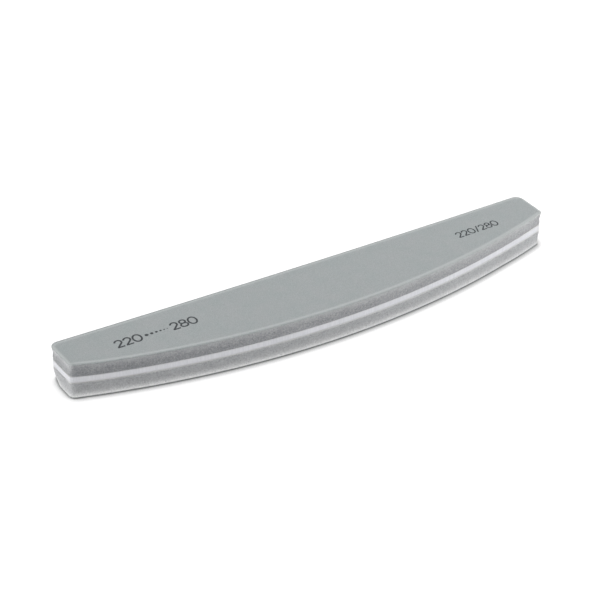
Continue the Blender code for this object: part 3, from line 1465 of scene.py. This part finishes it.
@dataclass(frozen=True)
class AcrylicAdhesive(Finish):
    """Coated acrylic adhesive: a milky, slightly shiny film, a little yellow and dusty.

    Attributes:
        dust: size of the foam dust that sticks to its open edge.
    """

    name: ClassVar[str] = "coated_acrylic_adhesive"
    roughness: ClassVar[float] = 0.45
    coat: ClassVar[float] = 0.1
    bump: ClassVar[float] = 0.01 * MM
    dust: float = 0.25 * MM

    def pattern(self, node: Adder, place: NodeSocket) -> Looks:
        """Mix the milky film's colour with the grey of foam dust.

        Args:
            node: adds a node to the material.
            place: the Object coordinates.

        Returns:
            The colour, and the height of the bumps from 0 to 1.
        """
        dusty = blotches(node, place, self.dust, 2.0)
        return node("ShaderNodeMix", 2, colours("#dddcd8", "#c8c8c7"), {0: dusty}), dusty


@dataclass(frozen=True)
class ScreenInk(Finish):
    """Screen-printed ink on grit: a soft charcoal, broken where grains stand through it.

    Attributes:
        grain: size of the breaks, as coarse as the sheet's drawn grains.
    """

    name: ClassVar[str] = "screen_printed_ink"
    roughness: ClassVar[float] = 0.8
    bump: ClassVar[float] = 0.02 * MM
    grain: float = 0.22 * MM

    def pattern(self, node: Adder, place: NodeSocket) -> Looks:
        """Mix the ink's colour with a lighter one where the cover is thin.

        Args:
            node: adds a node to the material.
            place: the Object coordinates.

        Returns:
            The colour, and the height of the bumps from 0 to 1.
        """
        thin = blotches(node, place, self.grain, 2.0)
        sharp = {"From Min": 0.55, "From Max": 1.1}
        cover = node("ShaderNodeMapRange", 0, sharp, {"Value": thin})
        return node("ShaderNodeMix", 2, colours("#2e3235", "#565b5e"), {0: cover}), thin


@dataclass(frozen=True)
class Softbox:
    """A large soft white lamp that faces the tool.

    Attributes:
        name: the lamp's name.
        azimuth: where it stands, in degrees: 0 is in front, at -Y, and 90 is at +X.
        elevation: its height above the horizon, in degrees.
        size, distance: side of its square front, and how far it stands from the tool.
        share: how brightly it alone shows a white surface that faces it, with 1 for white.
    """

    name: str
    azimuth: float
    elevation: float
    size: float
    share: float
    distance: float = 1.4

    def hang(self, target: Vector) -> None:
        """Place the lamp: its power is the share times a sphere's area at its distance.

        Args:
            target: the point that it faces.
        """
        lamp = bpy.data.lights.new(self.name, "AREA")
        lamp.size = self.size
        lamp.energy = self.share * 4 * math.pi * self.distance**2
        made = bpy.data.objects.new(self.name, lamp)
        made.visible_camera = False
        turn, rise = math.radians(self.azimuth), math.radians(self.elevation)
        flat = math.cos(rise)
        way = Vector((math.sin(turn) * flat, -math.cos(turn) * flat, math.sin(rise)))
        facing = way.to_track_quat("Z", "Y").to_matrix().to_4x4()
        made.matrix_world = Matrix.Translation(target + self.distance * way) @ facing
        bpy.context.scene.collection.objects.link(made)


@dataclass(frozen=True)
class PhotoCamera:
    """The photograph's viewpoint, found from the edges of the tool in its picture.

    Attributes:
        yaw, pitch, roll: its direction round the tool, its height and its lean, in degrees.
        distance: how far it stands from the target.
        target: the point on the table in the middle of the picture.
        lens, sensor: its focal length and the width of its sensor, in millimetres.
    """

    yaw: float = -31.743
    pitch: float = 33.480
    roll: float = 0.689
    distance: float = 0.53188
    target: tuple[float, float, float] = (-1.714 * MM, 11.399 * MM, 0.0)
    lens: float = 97.33
    sensor: float = 36.0

    def stand(self) -> None:
        """Make the camera. Its axes are worked out from yaw and pitch, and then rolled."""
        yaw, pitch, roll = (math.radians(a) for a in (self.yaw, self.pitch, self.roll))
        flat = math.cos(pitch)
        back = Vector((math.sin(yaw) * flat, -math.cos(yaw) * flat, math.sin(pitch)))
        right = Vector((math.cos(yaw), math.sin(yaw), 0.0))
        up = back.cross(right)
        across = math.cos(roll) * right + math.sin(roll) * up
        upward = math.cos(roll) * up - math.sin(roll) * right
        data = bpy.data.cameras.new("photo_camera")
        data.lens, data.sensor_width = self.lens, self.sensor
        made = bpy.data.objects.new("photo_camera", data)
        turn = Matrix((across, upward, back)).transposed().to_4x4()
        made.matrix_world = Matrix.Translation(Vector(self.target) + self.distance * back) @ turn
        bpy.context.scene.collection.objects.link(made)
        bpy.context.scene.camera = made


@dataclass(frozen=True)
class TableShadow:
    """A darkening of the table where the tool hides part of the sky.

    Attributes:
        width: how far out it reaches.
        leans: along X and Y, how far the sky leans, beside the left end and elsewhere.
        span: shares of free sky at which it is darkest and gone.
    """

    width: float
    leans: tuple[tuple[float, float], tuple[float, float]]
    span: tuple[float, float]


@dataclass(frozen=True)
class Studio:
    """A white table under soft lamps.

    Attributes:
        reach: half the table's side.
        white: strength at which the camera sees the background. 1 is white.
        glow: what the camera sees of the open table beside what the lamps give it.
        foot: the soft shadow round the tool, deepest in front and lightest behind.
        line: the dark line right beside it, lightest at the far left corner.
        end_reach: places along X between which the left end's lean gives way to the other.
        fill: strength of the even light from all sides.
        colour: the table's colour, in the light that it throws back on the tool.
        seen_colour: the share of the lamps' light that the camera sees on the table.
        aim: the point that the lamps face.
    """

    reach: float = 3.0
    white: float = 1.0
    glow: float = 0.82
    foot: TableShadow = TableShadow(4 * MM, ((0.12, 0.47), (-0.27, 0.45)), (0.25, 0.81))
    line: TableShadow = TableShadow(1.0 * MM, ((0.34, 0.6), (0.45, 0.25)), (0.12, 0.92))
    end_reach: tuple[float, float] = (-88.5 * MM, -84 * MM)
    fill: float = 0.3
    colour: str = "#f0f0f0"
    seen_colour: str = "#999999"
    aim: tuple[float, float, float] = (0.0, 0.0, 6 * MM)

    @staticmethod
    def seen(node: Adder) -> NodeSocket:
        """1 for what the camera, a reflection or a clear piece sees, and 0 for other light.

        Args:
            node: adds a node to the material or to the world.

        Returns:
            That value.
        """
        total = node("ShaderNodeLightPath", "Is Camera Ray")
        rays = total.node.outputs
        for name in ("Is Glossy Ray", "Is Transmission Ray"):
            links = {0: total, 1: rays[name]}
            total = node("ShaderNodeMath", 0, {"operation": "MAXIMUM"}, links)
        return total

    def light_world(self) -> None:
        """Make the world: white where it is seen, and a weak even light elsewhere."""
        world = bpy.data.worlds.new("studio_world")
        world.use_nodes = True
        bpy.context.scene.world = world
        node = partial(add_node, world.node_tree)
        spread = {"To Min": self.fill, "To Max": self.white}
        strength = node("ShaderNodeMapRange", 0, spread, {"Value": self.seen(node)})
        background = world.node_tree.nodes["Background"].inputs
        background["Color"].default_value = linear("#ffffff")
        world.node_tree.links.new(strength, background["Strength"])

    def openness(self, node: Adder, shadow: TableShadow) -> NodeSocket:
        """How free of a shadow the table is: the share of leaning sky that nothing hides.

        Args:
            node: adds a node to the table's material.
            shadow: the shadow.

        Returns:
            0 where it is darkest, and 1 where it is gone.
        """
        place = node("ShaderNodeTexCoord", "Object")
        x = node("ShaderNodeSeparateXYZ", 0, {}, {0: place})
        spread = dict(zip(("From Min", "From Max"), self.end_reach))
        elsewhere = node("ShaderNodeMapRange", 0, spread, {"Value": x})
        settings = {"data_type": "VECTOR"}
        for number, (along, across) in enumerate(shadow.leans, start=4):
            settings[number] = (along, across, math.sqrt(1 - along**2 - across**2))
        way = node("ShaderNodeMix", 1, settings, {0: elsewhere})
        settings = {"samples": 16, "Distance": shadow.width}
        free = node("ShaderNodeAmbientOcclusion", "AO", settings, {"Normal": way})
        spread = dict(zip(("From Min", "From Max"), shadow.span))
        return node("ShaderNodeMapRange", 0, spread, {"Value": free})

    def surface(self, node: Adder) -> NodeSocket:
        """The table's shader: lit and glowing from above, black in the line, clear from below.

        The line shows only where the table is seen, and the table holds no light back.

        Args:
            node: adds a node to the table's material.

        Returns:
            The shader.
        """
        seen = self.seen(node)
        links = {0: self.openness(node, self.foot)}
        glow = node("ShaderNodeMath", 0, {"operation": "MULTIPLY", 1: self.glow}, links)
        glow = node("ShaderNodeMath", 0, {"operation": "MULTIPLY"}, {0: glow, 1: seen})
        shine = node("ShaderNodeEmission", 0, {}, {"Strength": glow})
        colour = node("ShaderNodeMix", 2, colours(self.colour, self.seen_colour), {0: seen})
        matt = node("ShaderNodeBsdfDiffuse", 0, {}, {"Color": colour})
        lit = node("ShaderNodeAddShader", 0, {}, {0: matt, 1: shine})
        unseen = node("ShaderNodeMath", 0, {"operation": "SUBTRACT", 0: 1.0}, {1: seen})
        links = {0: self.openness(node, self.line), 1: unseen}
        kept = node("ShaderNodeMath", 0, {"operation": "MAXIMUM"}, links)
        dark = node("ShaderNodeEmission", 0, {"Strength": 0.0})
        lit = node("ShaderNodeMixShader", 0, {}, {0: kept, 1: dark, 2: lit})
        below = node("ShaderNodeNewGeometry", "Backfacing")
        shadow = node("ShaderNodeLightPath", "Is Shadow Ray")
        through = node("ShaderNodeMath", 0, {"operation": "MAXIMUM"}, {0: below, 1: shadow})
        clear = node("ShaderNodeBsdfTransparent")
        return node("ShaderNodeMixShader", 0, {}, {0: through, 1: lit, 2: clear})

    def lay_table(self) -> None:
        """Make the table's top: one square in its own material."""
        r = self.reach
        corners = np.array([(-r, -r, 0.0), (r, -r, 0.0), (r, r, 0.0), (-r, r, 0.0)])
        table = write_mesh("table_top", corners, np.array([[0, 1, 2, 3]]), NO_TRIANGLES)
        material = bpy.data.materials.new("white_laminate_table")
        material.use_nodes = True
        tree = material.node_tree
        tree.nodes.remove(tree.nodes["Principled BSDF"])
        shader = self.surface(partial(add_node, tree))
        tree.links.new(shader, tree.nodes["Material Output"].inputs["Surface"])
        table.data.materials.append(material)

    def set_up(self, lamps: tuple[Softbox, ...]) -> None:
        """Lay the table, light the world and hang the lamps round the tool.

        Args:
            lamps: the lamps.
        """
        bpy.context.scene.view_settings.view_transform = "Standard"
        self.lay_table()
        self.light_world()
        for lamp in lamps:
            lamp.hang(Vector(self.aim))


@dataclass(frozen=True)
class NailBuffer:
    """The whole tool: its layers from the underside up, and its print.

    Attributes:
        plan: the die's plan.
        cut: the walls' insets.
        squeezes: how far the films below and above the core are drawn back.
    """

    plan: DiePlan
    cut: CutWall
    squeezes: tuple[float, float] = (0.02 * MM, 0.06 * MM)

    def sheets(self) -> tuple[AbrasiveSheet, ...]:
        """Name the sheets' own measures.

        Returns:
            The lower sheet, rolled and dusty, and the upper one.
        """
        return (
            # The lower sheet's deep grey foot is painted shade, and its paler left end is painted
            # light.
            AbrasiveSheet(
                "lower_grit_sheet", "lower_abrasive_sheet", self.plan, self.cut, 21, Side.LOWER,
                draw_down=0.0, coat_and_shade_depth=0.22 * MM, edge_dust_and_light=(0.3, 0.95),
            ),
            AbrasiveSheet("upper_grit_sheet", "upper_abrasive_sheet", self.plan, self.cut, 22),
        )

    def pads(self) -> tuple[FoamPad, ...]:
        """Name the pads' own measures.

        Returns:
            The lower pad, with painted light paling it towards its foot, and the upper one.
        """
        return (
            # The lower pad's tone: painted light from the table pales it towards its foot.
            FoamPad(
                "lower_sponge", "lower_foam_pad", self.plan, self.cut, 31, Side.LOWER, rows=30,
                tone=(0.08, 1.0), tone_bend=4.8, painted_light_rise=(0.055, -0.5),
                tone_lip=(0.3, 0.042), end_painted_light=(0.11, -0.33),
            ),
            FoamPad("upper_sponge", "upper_foam_pad", self.plan, self.cut, 32),
        )

    def films(self) -> tuple[AdhesiveFilm, ...]:
        """Name the films' own measures.

        Returns:
            The four films, from the underside up.
        """
        cut, (below, above) = self.cut, self.squeezes
        rows = (
            ("lower_sheet_bond", "lower_sheet_adhesive", cut.sheet_grip, below),
            ("lower_core_bond", "lower_core_tape", cut.core, below),
            ("upper_core_bond", "upper_core_tape", cut.core, above),
            ("upper_sheet_bond", "upper_sheet_adhesive", cut.sheet_grip, above),
        )
        return tuple(
            AdhesiveFilm(name, node, self.plan, cut, 51 + index, inset, back, index == 0)
            for index, (name, node, inset, back) in enumerate(rows)
        )

    def build(self) -> None:
        """Build every piece with its finish, and report it."""
        sheets = self.sheets()
        for finish, layers in (
            (CoatedAbrasivePaper(), sheets),
            (CutSponge(), self.pads()),
            (PolystyreneSheet(), (CoreBoard("white_core", "core_board", self.plan, self.cut, 41),)),
            (AcrylicAdhesive(), self.films()),
        ):
            material = finish.make()
            for layer in layers:
                report(layer.build(material))
        top, ink = sheets[1], ScreenInk().make()
        for prints in (
            InkPrint(
                "grit_number_print", top, corner=(54.5 * MM, 1.15 * MM), turn=math.radians(1.2),
                height=3.0 * MM, stroke=0.47 * MM,
            ),
            GradeScale(
                "grade_scale_print", top, corner=(-71.9 * MM, 1.4 * MM), turn=0.0,
                height=3.6 * MM, stroke=0.6 * MM,
            ),
        ):
            report(prints.build(ink))


def report(piece: Object) -> None:
    """Log a piece's name and its number of faces."""
    LOG.info("%s: %d faces", piece.name, len(piece.data.polygons))


def main() -> None:
    """Set up the camera and the studio, and build the tool on the table."""
    logging.basicConfig(level=logging.INFO, format="%(name)s: %(message)s")
    PhotoCamera().stand()
    # Each lamp's name, azimuth, elevation, size and share.
    Studio().set_up((
        Softbox("overhead_softbox", 148.0, 78.0, 1.0, 0.145),
        Softbox("back_softbox", 165.0, 33.0, 0.9, 0.16),
        Softbox("right_softbox", 75.0, 33.0, 0.9, 0.44),
        Softbox("right_strip", 75.0, 8.0, 0.7, 0.15),
        Softbox("front_strip", 15.0, 8.0, 0.7, 0.17),
        Softbox("left_strip", -105.0, 8.0, 0.7, 0.46),
        Softbox("table_lamp", -30.0, -80.0, 1.0, 0.25),
    ))
    low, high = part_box("upper_abrasive_sheet")
    plan = DiePlan(length=high.x - low.x, width=high.y - low.y)
    NailBuffer(plan, CutWall()).build()


if __name__ == "__main__":
    main()
